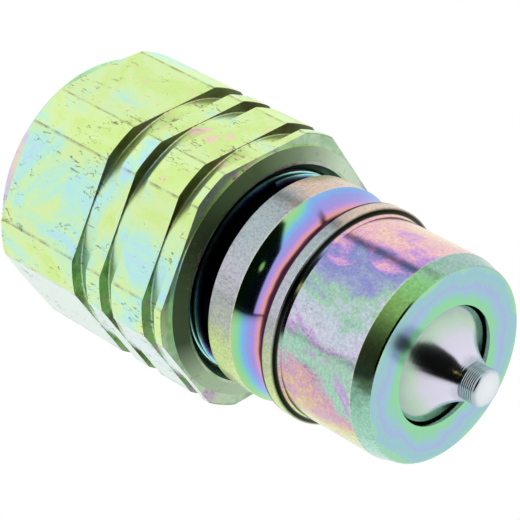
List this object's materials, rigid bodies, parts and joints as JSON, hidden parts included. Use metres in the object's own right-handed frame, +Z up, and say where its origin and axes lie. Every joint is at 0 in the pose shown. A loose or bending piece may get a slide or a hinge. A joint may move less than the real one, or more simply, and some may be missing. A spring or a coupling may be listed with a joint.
{
  "type": "poppet quick coupling male plug",
  "caption": "Male half of a poppet quick coupling: turned nose with ball groove and spring-loaded poppet, screwed into a hexagonal adapter with a threaded rear port",
  "frame": {"origin": "centre of the rear face, on the axis, in the mouth of the rear port", "axes": "+X along the axis out of the nose, +Z up with the plug lying on one flat of its hexagon, Y across the corners"},
  "size_m": [0.0532, 0.0282, 0.026],
  "materials": {
    "yellow_zinc": "iridescent yellow passivated zinc plating",
    "pale_zinc": "pale iridescent passivated zinc plating, turned",
    "bright_steel": "bright turned",
    "guide_steel": "zinc plated",
    "spring_steel": "drawn stainless wire",
    "nitrile": "black nitrile rubber"
  },
  "bodies": {
    "plug": {"adapter": "yellow_zinc", "tip_body": "pale_zinc", "body_seal": "nitrile", "valve_guide": "guide_steel", "spring": "spring_steel"},
    "valve": {"poppet": "bright_steel", "valve_seal": "nitrile", "seal_retainer": "guide_steel"}
  },
  "joints": [
    {"name": "poppet_slide", "type": "slide", "parent": "plug", "child": "valve", "axis": [-1, 0, 0], "range_m": [0, 0.005], "stiffness_N_per_m": 3000, "springref_m": -0.007, "deforming": ["spring"]}
  ]
}
